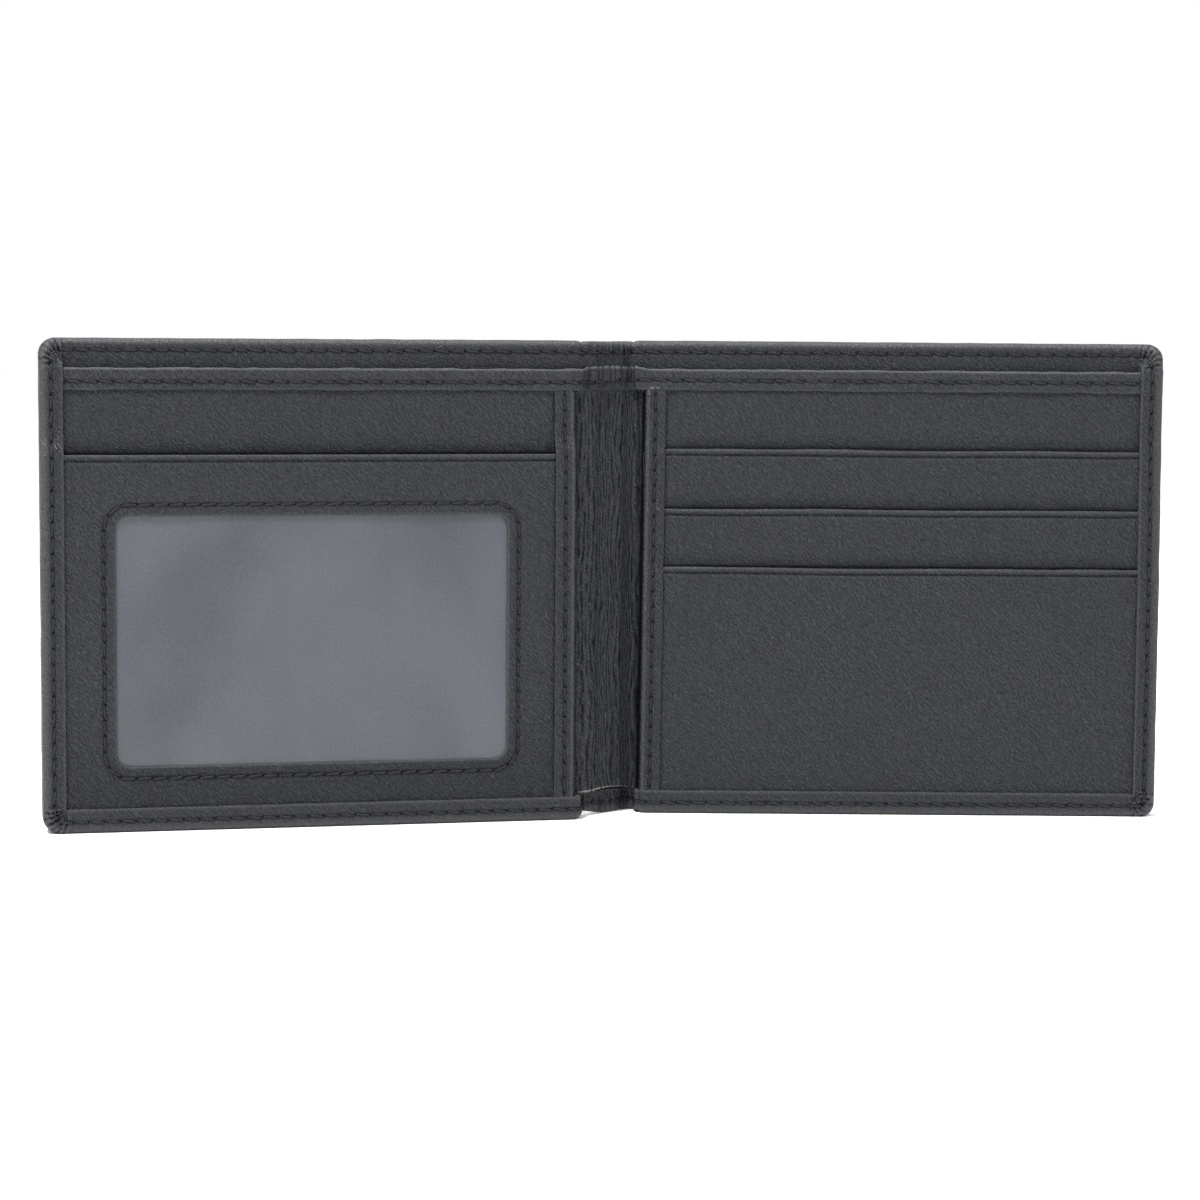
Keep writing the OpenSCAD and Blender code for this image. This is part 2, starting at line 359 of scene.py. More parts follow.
def cover_profile(outline):
    """Insets and depths over a station's section, from the back sheet round to the face."""
    face, width, drop = outline.levels()
    back_r, lip_r = 0.8, 0.28
    inset, depth = [], []

    def add(across, level):
        inset.append(np.broadcast_to(across, face.shape))
        depth.append(np.broadcast_to(level, face.shape))

    for d in (CORNER_BLOCK, 4.2, 3.8, 3.4, 2.9, 2.55, 2.2, 1.85, 1.5, 1.1):
        add(d, -SKIN)
    for a in spaced(0, math.pi / 2, math.pi / 12):
        add(back_r * (1 - math.sin(a)), -SKIN + back_r * (1 - math.cos(a)))
    front_r = np.clip((face + SKIN - back_r) * 0.75, 0.3, 1.25)
    wall = face - front_r - (back_r - SKIN)
    for share in (0.33, 0.67):
        add(-0.04, back_r - SKIN + wall * share)
    for a in spaced(0, math.pi / 2, math.pi / 14):
        add(front_r * (1 - math.cos(a)), face - front_r * (1 - math.sin(a)))
    for share in spaced(0, 1, 1 / 13)[1:]:
        add(front_r + (width - lip_r - front_r) * share, face)
    for a in spaced(0, math.pi / 2, math.pi / 8)[1:]:
        add(width - lip_r + lip_r * math.sin(a), face - lip_r * (1 - math.cos(a)))
    add(width, face - drop - 0.1)
    for further in (0.15, 0.9):
        add(np.where(outline.zone == TOP_EDGE, width + further, CORNER_BLOCK - 0.02), STRIP_FLOOR)
    return np.stack(inset, 1), np.stack(depth, 1)


def seam_marks(along, count_from, pitch=STITCH_PITCH):
    """How far each station is from the nearest needle hole, along the seam."""
    return np.abs((along - count_from + pitch / 2) % pitch - pitch / 2)


def seam_groove(across, hole):
    """Relief of a seam: a groove, deeper at the needle holes."""
    return -0.13 * bell(across, 0.45) - 0.25 * bell(across, 0.3) * bell(hole, 0.32)


def seam_shade(across, hole, line=0.35, at_hole=0.65):
    """Darkness of a seam's groove and of its needle holes."""
    return bell(across, 0.28) * (line + at_hole * bell(hole, 0.4))


def outer_seam(outline):
    """Flat points of the outer seam's path on the face, and its length at each station."""
    face, _, _ = outline.levels()
    points = outline.at([SEAM_INSET])[:, 0]
    step = np.linalg.norm(np.diff(points, axis=0), axis=1)
    length = np.concatenate([[0], np.cumsum(step)])
    return np.column_stack([points, face]), length


def corner_pleats(outline, inset, start=0.15):
    """Height of the pleats that gather the leather round the two outer corners, from inset start."""
    height = np.zeros(inset.shape)
    for zone, seed, pleat, crumple in ((LOW_CORNER, 5, 0.36, 0.12), (HIGH_CORNER, 9, 0.42, 0.05)):
        inside = outline.zone == zone
        along = outline.along - outline.along[inside][0]
        span = outline.along[inside][-1] - outline.along[inside][0]
        middle = along - span / 2
        fade = smooth((span / 2 + 1.6 - np.abs(middle)) / 2.2)[:, None]
        bend = middle[:, None] + 0.25 * np.sin(inset * 1.3 + seed)
        wave = np.abs(np.sin(math.pi * bend / 1.3 + 0.5 * seed + 0.6 * outline.half.side))
        reach = smooth((inset - start) / 0.9) * smooth((4.5 - inset) / 1.8)
        rough = ripple(bend, inset, 1.6, 1.2, seed + outline.half.side)
        height += fade * reach * (pleat * (wave ** 0.6 - 0.75) + crumple * rough)
    return height


def cover(half):
    """A half's outer cover with its turned edges; its outline is returned for the seam."""
    outline = Outline(half)
    inset, depth = cover_profile(outline)
    p = np.concatenate([outline.at(inset), depth[..., None]], axis=-1)
    u, z = p[..., 0], p[..., 1]
    faces_front = depth > 0.3

    _, seam = outer_seam(outline)
    hole = seam_marks(seam, SEAM_START)[:, None]
    across = inset - SEAM_INSET
    height = seam_groove(across, hole)
    height += 0.05 * bell(across, 1.5) * (1 - bell(hole, 0.9))
    height += corner_pleats(outline, inset) * np.where(faces_front, 1.0, 0.5)

    on_spine = smooth((1.2 - outline.edge[:, 0]) / 1.6)[:, None]
    low, high = (outline.zone == BOTTOM)[:, None], (outline.zone == TOP_EDGE)[:, None]
    v = half.across(u)
    gathers = ripple(v, z, 0.95, 7, 21) * 0.12 * smooth((inset + 0.05) / 0.8)
    gathers *= np.where(faces_front, 1.0, 0.3)
    height += np.where(low, 1.4 * gathers * on_spine, 0)
    height += np.where(high, 1.5 * gathers * on_spine * smooth((3.4 - inset) / 1.4), 0)
    height += 0.018 * ripple(v, z, 9, 9, 31)
    height -= 0.08 * bell(inset - 3.4, 0.4) * faces_front * ~high
    height *= np.where(faces_front | (inset < CORNER_BLOCK - 0.5), 1.0, 0.0)
    p = pushed(p, height)

    width = outline.levels()[1][:, None]
    # Painted highlight along the rounded outer edge, strongest on the top edge.
    rim = np.where(high, 0.95 * bell(inset - 0.3, 0.6), 0.7 * bell(inset - 0.4, 0.95)) * faces_front
    # Painted highlight on the crests of the corner pleats.
    crest = np.clip(3.0 * corner_pleats(outline, inset, -0.3), 0, 0.55) * faces_front
    # Painted highlight along the strip's inner lip; the bottom strip is also made a little lighter.
    lip = (0.45 * bell(inset - width + 0.15, 0.3) + 0.08 * low) * faces_front
    end = bell(outline.edge[:, 0] - 1.0, 0.9)[:, None] * bell(inset - 3.6, 1.3) * low
    fray = 1.4 * end * faces_front * smooth(ripple(v, z, 0.8, 0.6, 23))
    # Painted shade in the seam's groove and needle holes, and in the pleats' creases.
    needle = seam_shade(across, hole) * faces_front
    crease = np.clip(-4.5 * corner_pleats(outline, inset, -0.6), 0, 0.95) * faces_front
    crease = crease * smooth((4.2 - inset) / 1.5)
    wear = np.clip(rim + lip + crest, 0, 1) + fray - np.clip(needle + crease, 0, 1)
    shape = Shape(half).grid(p, wear=wear)
    shape.grid(cover_back(half))
    shape.object(f"cover_leather_{half.name}", LEATHER, True, "leather",
                 cad_nodes("outer_cover", half))
    return outline


def cover_back(half):
    """The back of the cover inside its rim, slightly wavy, with fine folds near the spine."""
    columns = np.concatenate([spaced(-SPINE_W / 2, FINE_END, FINE_STEP)[:-1],
                              spaced(FINE_END, OUTER - CORNER_BLOCK, BACK_STEP)])
    rows = spaced(CORNER_BLOCK, TOP - CORNER_BLOCK, BACK_STEP)
    back_u, back_z = np.meshgrid(columns, rows, indexing="ij")
    back = np.stack([back_u, back_z, np.full(back_u.shape, -SKIN)], -1)
    inner = np.minimum.reduce([back_z - CORNER_BLOCK, TOP - CORNER_BLOCK - back_z,
                               OUTER - CORNER_BLOCK - back_u])
    fade = smooth(inner / 6)
    back_v = half.across(back_u)
    back[..., 2] -= 0.06 * fade * ripple(back_v, back_z, 30, 30, 41)
    folds = smooth((1.5 - back_u) / 3)
    back[..., 2] += 0.05 * fade * folds * ripple(back_v, back_z, 1.4, 22, 43)
    return back


# ---- the divider and its hem
def divider_levels(u, half):
    """Depth of the divider's face below the hem, and of the hem's face."""
    sheet = ease(u, 0.7, 2.2, 1.35, 3.08) + 0.75 * bell(u + 0.9, 2.2) * (half.side > 0)
    return sheet, ease(u, *HEM_STEP[half.side], 2.1, 4.15)


def hem_lift(u, half):
    """The hem stands a little higher where it crosses the spine."""
    start, stop = HEM_RISE[half.side]
    return 0.42 * smooth((stop - u) / (stop - start))


def divider_section(half, u):
    """Heights, depths and wear round the divider's section at each u, from its low edge up."""
    sheet, hem = divider_levels(u, half)
    lift = hem_lift(u, half)
    low = ease(u, -SPINE_W / 2, 1.0, 5.1, 4.7 if half.side > 0 else 4.4)
    low = np.where(u > 2.4, 5.2, low)
    top, fold = HEM_TOP + lift, 0.55
    z, n, wear = [], [], []

    def add(height, depth, highlight_and_wear=0.0):
        z.append(np.broadcast_to(height, u.shape))
        n.append(np.broadcast_to(depth, u.shape))
        wear.append(np.broadcast_to(highlight_and_wear, u.shape))

    cut = ease(half.across(u), -6.5, 4.0, 0.55, 0.12) * smooth((2 - u) / 2)
    add(low, sheet + 0.3 * smooth((2 - u) / 2), 1.0 + cut)
    add(low + cut, sheet + 0.4 * smooth((2 - u) / 2), 1.2 + cut)
    for share in spaced(0, 1, 1 / 160):
        curl = 0.4 * math.exp(-share * 40) * smooth((2 - u) / 2)
        start = low + cut + 0.06
        add(start + (HEM_LOW - start) * share, sheet + curl)
    # The hem's lower edge is made a little lighter.
    add(HEM_LOW + 0.02, hem - 0.35, 0.25)
    add(HEM_LOW + 0.12, hem - 0.1, 0.25)
    add(HEM_LOW + 0.35, hem, 0.1)
    for share in spaced(0, 1, 1 / 12)[1:]:
        add(HEM_LOW + 0.35 + (top - fold - HEM_LOW - 0.35) * share, hem)
    # Painted highlight over the hem's rolled top.
    for a in spaced(0, math.pi, math.pi / 8)[1:]:
        add(top - fold + fold * math.sin(a), hem - fold * (1 - math.cos(a)), math.sin(a) * 0.9)
    for share in (0.15, 0.4, 0.7):
        add(top - fold - (top - HEM_LOW) * share, hem - 2 * fold)
    for share in (0.0, 0.5, 1.0):
        add(HEM_LOW - 0.8 + (low - HEM_LOW + 0.8) * share, sheet - SHEET_T)
    return [np.stack(v, 1) for v in (z, n, wear)]


def divider(half):
    """The wall of the bill compartment, from under the outer strip to the middle of the spine."""
    u = np.concatenate([spaced(-SPINE_W / 2, 2.6, 0.12)[:-1], spaced(2.6, OUTER - 1.2, 0.5)])
    z, n, wear = divider_section(half, u)
    uu = np.broadcast_to(u[:, None], z.shape)
    p = np.stack([uu, z, n], -1)

    spine = smooth((3.0 - uu) / 1.6)
    front = n > divider_levels(uu, half)[0] - 0.2
    on_sheet = z < HEM_LOW
    v = half.across(uu)
    bend = v / 0.9 + 0.40 * ripple(v, z, 7, 17, 51, 12) + 0.12 * ripple(v, z, 1.6, 5, 58, 12)
    lines = np.cos(2 * math.pi * bend)
    valley = (0.5 + 0.5 * lines) ** 3 * smooth(0.8 + 0.8 * ripple(v, z, 1.3, 4, 53))
    height = -0.13 * spine * valley * on_sheet * front
    height += 0.03 * spine * ripple(v, z, 0.8, 1.6, 56) * on_sheet * front
    ridge = np.cos(2 * math.pi * (v + 0.25 * np.sin(v * 1.9)) / 1.5)
    ridge_spine = smooth((HEM_RISE[half.side][1] - uu) / 1.6) * (z > HEM_LOW + 0.3)
    height += 0.14 * ridge * ridge_spine * smooth((z - HEM_LOW - 0.5) / 1.4) * front
    seam_z = hem_seam(half)
    hole = seam_marks(uu, SEAM_START)
    needle = seam_shade(z - seam_z, hole) * front
    height += seam_groove(z - seam_z, hole) * front
    height += 0.05 * ripple(v, z, 5, 5, 54) * (z > HEM_LOW) * front
    p = pushed(p, height)
    p[..., 2] += hem_sway(uu) * (z > HEM_LOW + 0.3)
    # Painted shade in the liner's wrinkle valleys, painted highlight on their ridges.
    crease = 0.75 * valley * on_sheet * spine
    crest = 0.18 * smooth(-lines) * on_sheet * spine * front
    # Painted shade on the right liner next to the block's edge, and just under the hem.
    gap = 1.3 * smooth((uu - block_edge(z, half) + 0.8) / 0.6) * on_sheet * (half.side > 0)
    fray = bell(uu - 4.4, 1.4) * bell(z - HEM_LOW - 0.5, 0.45) * (half.side > 0)
    fray = 1.6 * fray * smooth(ripple(uu, z, 0.7, 0.5, 57))
    hem_shade = 0.35 * bell(z - HEM_LOW + 0.1, 0.2) * on_sheet
    wear = wear + crest + fray - np.clip(needle + crease + hem_shade + gap, 0, 1.3)
    shape = Shape(half).grid(p, loop=True, wear=np.maximum(wear, -1))
    shape.object(f"divider_leather_{half.name}", DARK_LEATHER, True, "leather",
                 cad_nodes("divider", half))


# ---- pockets
def lip_height(below):
    """Relief of a folded pocket edge at a distance below its top: a bead, then the crease."""
    bead = 0.16 * np.sin(math.pi * np.clip(below / CREASE, 0, 1)) ** 0.7
    return bead - 0.20 * bell(below - CREASE - 0.1, 0.22) - 0.05 * smooth(below / CREASE - 1)


def lip_wear(below):
    """Painted highlight along the fold and on the lip below the crease; painted shade in the crease.
    """
    light = 0.55 * bell(below - 0.22, 0.28) + 0.16 * bell(below - CREASE - 0.5, 0.25)
    return light * (below > -0.5) - 0.62 * bell(below - CREASE - 0.05, 0.18)


def mouth_shade(z, tops):
    """Darkness of the leather just above each pocket mouth in front of it."""
    return sum(0.8 * bell(z - top - 0.05, 0.35) + 0.22 * bell(z - top - 0.8, 1.3) for top in tops)


def section_grid(u, z, n):
    """A section's (z, n) points carried along u: the grid and its three coordinates."""
    uu = np.broadcast_to(u[:, None], (len(u), len(z)))
    zz, nn = (np.broadcast_to(v, uu.shape) for v in (z, n))
    return np.stack([uu, zz, nn], -1), uu, zz, nn


def flap(half, name, cad_node, low, top, level, seed, above=()):
    """A sheet of pocket leather with a folded, slightly gaping top edge and the crease below it."""
    u = spaced(POCKET_START, OUTER - 1.0, 0.6)
    r = FOLD_R
    z, n = [], []
    rows = np.concatenate([spaced(low, top - 14, 1.2)[:-1], spaced(top - 14, top - 2.4, 0.4)[:-1],
                           spaced(top - 2.4, top - r, 0.15)])
    for height in rows:
        z.append(height)
        n.append(level)
    for a in spaced(0, math.pi, math.pi / 8)[1:]:
        z.append(top - r + r * math.sin(a))
        n.append(level - r * (1 - math.cos(a)))
    for height in (top - 3, top - 8, low):
        z.append(height)
        n.append(level - SHEET_T)
    p, uu, zz, nn = section_grid(u, z, n)
    front = nn > level - r
    middle = smooth((uu - BLOCK - BINDING_W) / 9) * smooth((OUTER - STRIP_SIDE - uu) / 9)
    p[..., 2] += GAPE * middle * np.exp(-(top - zz) / 3.2) * (1 + 0.2 * ripple(uu, 0, 40, 40, seed))
    p[..., 1] += 0.06 * ripple(uu, 0, 45, 45, seed + 1) * smooth((zz - top + 8) / 8)
    height = lip_height(top - zz) + 0.05 * ripple(uu, zz, 16, 16, seed + 2)
    p = pushed(p, (height + 0.02 * ripple(uu, zz, 3.2, 3.2, seed + 3)) * front)
    # Painted highlight on the fold; painted shade in its crease and just above the mouth of the pocket
    # in front of it.
    wear = lip_wear(top - zz) - mouth_shade(zz, above)
    Shape(half).grid(p, loop=True, wear=np.clip(wear, -1, 1)).object(
        name, LEATHER, False, "leather", [cad_node])


def base_panel(half):
    """The leather that the pockets are sewn on, seen between the hem and the first pocket."""
    u = spaced(POCKET_START, OUTER - 1.0, 0.7)
    rows = np.concatenate([spaced(2.0, TOP - 30, 6)[:-1], spaced(TOP - 30, HEM_LOW + 0.6, 0.5)])
    z = np.concatenate([rows, rows[::-1][[0, -1]]])
    n = np.concatenate([np.full(len(rows), BASE_LEVEL), [BASE_LEVEL - 0.4, BASE_LEVEL - 0.4]])
    p, uu, zz, nn = section_grid(u, z, n)
    height = 0.06 * ripple(uu, zz, 13, 13, 61 + half.side) + 0.02 * ripple(uu, zz, 3, 3, 62)
    p = pushed(p, height * (nn > BASE_LEVEL - 0.1))
    mouth = POCKET_TOP if half.side < 0 else SLOT_TOPS[0]
    # Painted shade just above the first pocket's mouth and just under the hem.
    wear = -np.clip(mouth_shade(zz, [mouth]), 0, 1) - 0.3 * bell(zz - HEM_LOW + 0.1, 0.4)
    Shape(half).grid(p, loop=True, wear=wear).object(
        f"base_leather_{half.name}", LEATHER, False, "leather", [f"{half.name}_base_panel"])


def block_edge(z, half):
    """The spine-side edge of a half's pockets; the right one leans a little."""
    return BLOCK + BLOCK_LEAN[half.side] * np.asarray(z) / TOP


def binding_level(z, half):
    return side_level(z, half) - 0.06


def under_hem(level, z):
    """A level that gives way where the hem comes over it."""
    return np.minimum(level, ease(z, HEM_LOW - 3.5, HEM_LOW, 9.0, 4.0))


def binding(half):
    """The strip folded round the spine-side edge of a half's pockets."""
    z = spaced(HEM_LOW + 0.4, 3.6, 0.35)
    level = under_hem(binding_level(z, half) - 0.12 * smooth((9 - z) / 4), z)
    edge, r = block_edge(z, half), 0.9
    u, n, wear = [], [], []

    def add(across, depth, highlight_and_wear=0.0):
        u.append(np.broadcast_to(across, z.shape))
        n.append(np.broadcast_to(depth, z.shape))
        wear.append(np.full(z.shape, highlight_and_wear))

    # Painted shade down the wall beside the block.
    for share in (0.0, 0.5, 1.0):
        add(edge, BLOCK_FLOOR + (level - r - BLOCK_FLOOR) * share, -1.0)
    # Across the rounding, painted shade goes over to painted highlight.
    for a in spaced(0, math.pi / 2, math.pi / 14)[1:]:
        turned = smooth(a / 1.2)
        add(edge + r * (1 - math.cos(a)), level - r * (1 - math.sin(a)), 1.4 * turned - 0.9)
    for share in spaced(0, 1, 1 / 14)[1:]:
        add(edge + r + (BINDING_W - 0.25 - r) * share, level)
    # Painted highlight on the outer lip, painted shade just under it.
    add(edge + BINDING_W - 0.1, level - 0.06, 0.3)
    add(edge + BINDING_W, level - 0.25, -0.3)
    add(edge + BINDING_W, level - STRIP_LEATHER - 0.1, -0.8)
    add(edge + 1.0, level - STRIP_LEATHER - 0.2)
    add(edge + 0.5, BLOCK_FLOOR)
    u, n, wear = (np.stack(v, 1) for v in (u, n, wear))
    zz = np.broadcast_to(z[:, None], u.shape)
    p = np.stack([u, zz, n], -1)
    front = n > level[:, None] - 0.5
    hole = seam_marks(zz, BINDING_FIRST)
    across = u - block_edge(zz, half) - BINDING_SEAM
    height = seam_groove(across, hole)
    height += 0.03 * ripple(u, zz, 4, 4, 71 + half.side)
    p = pushed(p, height * front)
    needle = seam_shade(across, hole) * front
    Shape(half).grid(p, loop=True, wear=wear - needle).object(
        f"binding_leather_{half.name}", LEATHER, False, "leather", [f"{half.name}_edge_binding"])


class WindowRing:
    """Stations round the window: points on its edge and the way out from it."""

    def __init__(self, step=0.35):
        (u0, u1), (z0, z1), r = WINDOW_U, WINDOW_Z, WINDOW_R
        corners = [(u1 - r, z1 - r, 0), (u0 + r, z1 - r, 1), (u0 + r, z0 + r, 2), (u1 - r, z0 + r, 3)]
        edge, out = [], []
        for k, (cu, cz, quarter) in enumerate(corners):
            for a in spaced(0, math.pi / 2, 0.25 / r):
                turn = quarter * math.pi / 2 + a
                way = np.array([math.cos(turn), math.sin(turn)])
                edge.append(np.array([cu, cz]) + r * way)
                out.append(way)
            ncu, ncz, _ = corners[(k + 1) % 4]
            way = out[-1]
            start, stop = edge[-1], np.array([ncu, ncz]) + r * way
            for share in spaced(0, 1, step / np.linalg.norm(stop - start))[1:-1]:
                edge.append(start + (stop - start) * share)
                out.append(way)
        self.edge, self.out = np.array(edge), np.array(out)

    def path(self, offset):
        points = self.edge + self.out * offset
        step = np.linalg.norm(np.diff(points, axis=0, append=points[:1]), axis=1)
        return points, np.concatenate([[0], np.cumsum(step)])


def sheet_rim(points, sheet_u, sheet_z):
    """Where the rays from the window's middle through the points meet the sheet's edges."""
    middle = np.array([np.mean(WINDOW_U), np.mean(WINDOW_Z)])
    ray = points - middle
    with np.errstate(divide="ignore"):
        limit_u = np.where(ray[:, 0] > 0, sheet_u[1] - middle[0], sheet_u[0] - middle[0]) / ray[:, 0]
        limit_z = np.where(ray[:, 1] > 0, sheet_z[1] - middle[1], sheet_z[0] - middle[1]) / ray[:, 1]
    rim = middle + ray * np.minimum(np.abs(limit_u), np.abs(limit_z))[:, None]
    for k in range(4):
        corner = np.array([sheet_u[k in (0, 3)], sheet_z[k in (0, 1)]])
        nearest = np.argmin(np.linalg.norm(rim - corner, axis=1))
        rim[nearest] = corner
    return rim


def window_fold(sheet_u):
    """The folded top edge of the window pocket: its grid and the painted highlight over its fold."""
    across = spaced(*sheet_u, 0.5)
    turns = spaced(0, math.pi, math.pi / 8)
    r, fold = FOLD_R, POCKET_TOP - FOLD_R
    level = POCKET_LEVEL + pocket_gape(across, r) + pocket_swell(across, fold) + lip_height(r)
    roll = [(fold + r * math.sin(a), level - r * (1 - math.cos(a))) for a in turns]
    roll.append((fold - 5, level - 2 * r - 0.6 * pocket_gape(across, 0)))
    grid = np.stack([np.stack(np.broadcast_arrays(across, z, n), -1) for z, n in roll], 1)
    return grid, np.append(0.3 + 0.5 * np.sin(turns), 0.0)[None]


def window_frame(half):
    """The pocket leather round the window, turned in at the opening and folded at the top."""
    ring = WindowRing()
    sheet_u, sheet_z = (POCKET_START, OUTER - 1.0), (2.0, POCKET_TOP - FOLD_R)
    seam_offset, reach, edge_r = 2.2, 4.2, 0.34
    _, length = ring.path(seam_offset)
    whole = length[-1] / round(length[-1] / STITCH_PITCH)
    hole = np.abs((length[:-1] + whole / 2) % whole - whole / 2)

    offsets, depths, highlight_and_wear = [0.9, 0.02], [POCKET_LEVEL - 0.72, POCKET_LEVEL - 0.7], [0, 0]
    # Painted highlight on the edge turned in round the opening.
    for a in spaced(0, math.pi / 2, math.pi / 12):
        offsets.append(edge_r * (1 - math.cos(a)))
        depths.append(POCKET_LEVEL - edge_r * (1 - math.sin(a)))
        highlight_and_wear.append(0.8 * math.cos(a) + 0.2)
    for d in spaced(edge_r, reach, 0.3)[1:]:
        offsets.append(d)
        depths.append(POCKET_LEVEL)
        highlight_and_wear.append(0)
    offsets, depths = np.array(offsets), np.array(depths)
    flat = ring.edge[:, None] + ring.out[:, None] * offsets[:, None]
    depth = np.broadcast_to(depths, flat.shape[:2])

    far = ring.edge + ring.out * reach
    rim = sheet_rim(far, sheet_u, sheet_z)
    outer = far[:, None] + (rim - far)[:, None] * spaced(0, 1, 1 / 40)[1:, None]
    flat = np.concatenate([flat, outer], 1)
    depth = np.concatenate([depth, np.full(outer.shape[:2], POCKET_LEVEL)], 1)
    wear = np.concatenate([highlight_and_wear, np.zeros(outer.shape[1])])
    p = np.concatenate([flat, depth[..., None]], -1)
    p = np.concatenate([p, p[:1]], 0)
    hole = np.append(hole, hole[0])[:, None]
    u, z = p[..., 0], p[..., 1]
    distance = np.concatenate([offsets, np.full(outer.shape[1], 9.0)])[None]
    below = POCKET_TOP - z
    height = seam_groove(distance - seam_offset, hole)
    height = height + 0.06 * bell(distance - 1.1, 0.6) + lip_height(below) + pocket_swell(u, z)
    p[..., 2] += height + pocket_gape(u, below)
    needle = seam_shade(distance - seam_offset, hole, 0.3, 0.6)
    # Painted highlight on the turned edge and the fold; painted shade in the crease, the seam and
    # towards the pocket's bottom.
    shade = np.clip(wear + lip_wear(below) - needle - 0.14 * smooth((26 - z) / 18), -1, 1)
    shape = Shape(half).grid(p[:, ::-1], wear=shade[:, ::-1])

    fold, fold_wear = window_fold(sheet_u)
    shape.grid(fold, wear=fold_wear)
    shape.object("window_leather", LEATHER, False, "leather", ["id_window_frame"])
    return ring, whole, seam_offset


def pocket_gape(u, below):
    """How far the window pocket's mouth stands open, fading below its top."""
    return GAPE * smooth((u - 7) / 12) * smooth((OUTER - STRIP_SIDE - u) / 12) * np.exp(-below / 3.5)


def pocket_swell(u, z):
    """Unevenness of the window pocket's leather."""
    return 0.05 * ripple(u, z, 17, 17, 81) + 0.018 * ripple(u, z, 3.4, 3.4, 82)


def window_film(half):
    """The clear film behind the opening, with the slight waves of soft plastic."""
    u = spaced(WINDOW_U[0] - 3, WINDOW_U[1] + 3, 1.0)
    z = spaced(WINDOW_Z[0] - 3, WINDOW_Z[1] + 3, 1.0)
    uu, zz = np.meshgrid(u, z, indexing="ij")
    wave = 0.06 * ripple(uu, zz, 38, 26, 91) + 0.006 * ripple(uu, zz, 11, 8, 92)
    face = np.stack([uu, zz, FILM_LEVEL + np.clip(wave, -0.25, 0.1)], -1)
    behind = face[:, ::-1].copy()
    behind[..., 2] -= 0.2
    Shape(half).grid(np.concatenate([face, behind], 1), loop=True).object(
        "window_film", FILM, False, "film", ["id_window_film"])


# ---- stitches
def stitch_run(shape, path, length, first, pitch, up, lean=0.1, stop=None):
    """Adds a stitch from each needle hole to the next along a path of flat points."""
    rng = np.random.default_rng(len(path))
    stop = length[-1] if stop is None else stop
    share = np.linspace(0.07, 0.93, 8)
    arch = np.sin(share * math.pi)
    turn = np.linspace(0, 2 * math.pi, 7, endpoint=False)
    for start in np.arange(first, stop - 0.9 * pitch, pitch):
        core = np.stack([np.interp(start + share * pitch, length, path[:, c]) for c in range(3)], -1)
        way = np.gradient(core, axis=0)
        way /= np.linalg.norm(way, axis=1, keepdims=True)
        across = np.cross(way, up)
        core += up * (0.17 * arch ** 0.6 - 0.15 + rng.normal(0, 0.015))[:, None]
        core += across * ((share - 0.5) * (lean + rng.normal(0, 0.03)) * pitch)[:, None]
        thick = THREAD_R * (0.5 + 0.5 * arch ** 0.4)
        ring = across[:, None] * np.cos(turn)[:, None] + up * np.sin(turn)[:, None]
        tube = core[:, None] + ring * thick[:, None, None]
        ends = [core[k:k + 1, None].repeat(len(turn), 1) for k in (0, -1)]
        shape.grid(np.concatenate([ends[0], tube, ends[1]]), loop=True)


FRONT = np.array([0.0, 0.0, 1.0])
BACK = np.array([0.0, 0.0, -1.0])


def cover_stitches(half, outline):
    path, length = outer_seam(outline)
    first = SEAM_START % STITCH_PITCH
    shape = Shape(half)
    stitch_run(shape, path, length, first, STITCH_PITCH, FRONT, 0.12 * half.side)
    behind = path.copy()
    behind[:, 2] = -SKIN + 0.1
    stitch_run(shape, behind, length, first, STITCH_PITCH, BACK, 0.05)
    shape.object(f"cover_thread_{half.name}", THREAD, True, "thread",
                 cad_nodes("stitching_cover", half))


def hem_seam(half):
    return TOP - (7.6 if half.side > 0 else 8.0)


def hem_sway(u):
    """The hem's gentle waves towards the reader."""
    return 0.20 * ripple(u, 0, 24, 24, 55) * smooth((u - 2) / 5) * smooth((OUTER - STRIP_SIDE - u) / 6)


def hem_stitches(half):
    u = spaced(-SPINE_W / 2, OUTER - STRIP_SIDE, 0.3)
    hem = divider_levels(u, half)[1] + hem_sway(u)
    path = np.stack([u, np.full(u.shape, hem_seam(half)), hem], -1)
    first = (SEAM_START + SPINE_W / 2) % STITCH_PITCH
    shape = Shape(half)
    stitch_run(shape, path, u - u[0], first, STITCH_PITCH, FRONT, 0.12 * half.side)
    shape.object(f"hem_thread_{half.name}", THREAD, True, "thread",
                 cad_nodes("stitching_hem", half))


def binding_stitches(half):
    z = spaced(BINDING_FIRST, HEM_LOW - 0.4, 0.3)
    level = under_hem(binding_level(z, half), z)
    path = np.stack([block_edge(z, half) + BINDING_SEAM, z, level], -1)
    shape = Shape(half)
    stitch_run(shape, path, z - z[0], 0.0, STITCH_PITCH, FRONT)
    shape.object(f"binding_thread_{half.name}", THREAD, False, "thread",
                 [f"stitching_binding_{half.name}"])


def window_stitches(half, ring, pitch, offset):
    points, length = ring.path(offset)
    points = np.concatenate([points, points[:1]])
    level = POCKET_LEVEL + pocket_swell(points[:, 0], points[:, 1])
    shape = Shape(half)
    stitch_run(shape, np.column_stack([points, level]), length, 0.0, pitch, FRONT,
               stop=length[-1] + pitch / 2)
    shape.object("window_thread", THREAD, False, "thread", ["stitching_window"])


# ---- materials
RAW_EDGE = (0.24, 0.235, 0.225)             # the leather's inside, at a cut edge
DEEP_SHADE = (0.0015, 0.0015, 0.0016)       # seams, creases and the gaps beside a block


